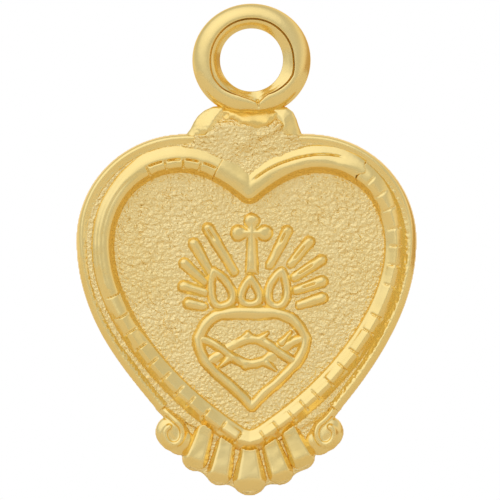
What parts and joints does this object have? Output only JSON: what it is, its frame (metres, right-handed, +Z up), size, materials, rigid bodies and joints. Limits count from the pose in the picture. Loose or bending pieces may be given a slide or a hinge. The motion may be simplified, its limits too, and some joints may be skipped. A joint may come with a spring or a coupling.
{
  "type": "milagro charm",
  "caption": "Heart-shaped gold-coloured milagro charm with a sacred heart in relief, a notched bezel, a fluted skirt with scrolls, and a fixed hanging ring.",
  "frame": {"origin": "centre of the ring's hole, in the ring's middle plane", "axes": "+Z up as the charm hangs, +X to the viewer's right, front faces -Y, hole along Y"},
  "size_m": [0.0169, 0.0018, 0.0246],
  "materials": {
    "polished_gold": "polished gold plate",
    "stippled_gold": "stippled matte gold plate",
    "solder_gold": "gold-plated solder fillet"
  },
  "bodies": {
    "root": {"back_plate": "stippled_gold", "rim_strip_left": "polished_gold", "rim_strip_right": "polished_gold", "notched_bezel": "polished_gold", "bezel_ribbon": "polished_gold", "scroll_left": "polished_gold", "scroll_right": "polished_gold", "flute_1": "polished_gold", "flute_2": "polished_gold", "flute_3": "polished_gold", "flute_4": "polished_gold", "flute_5": "polished_gold", "neck_block": "stippled_gold", "neck_shoulder_left": "polished_gold", "neck_shoulder_right": "polished_gold", "ring_saddle": "solder_gold", "hanging_ring": "polished_gold", "heart_frame": "polished_gold", "thorn_twig_upper": "polished_gold", "thorn_twig_lower": "polished_gold", "flame_left": "polished_gold", "flame_centre": "polished_gold", "flame_right": "polished_gold", "cross": "polished_gold", "ray_left_1": "polished_gold", "ray_left_2": "polished_gold", "ray_left_3": "polished_gold", "ray_left_4": "polished_gold", "ray_left_5": "polished_gold", "ray_right_1": "polished_gold", "ray_right_2": "polished_gold", "ray_right_3": "polished_gold", "ray_right_4": "polished_gold", "ray_right_5": "polished_gold"}
  },
  "joints": []
}
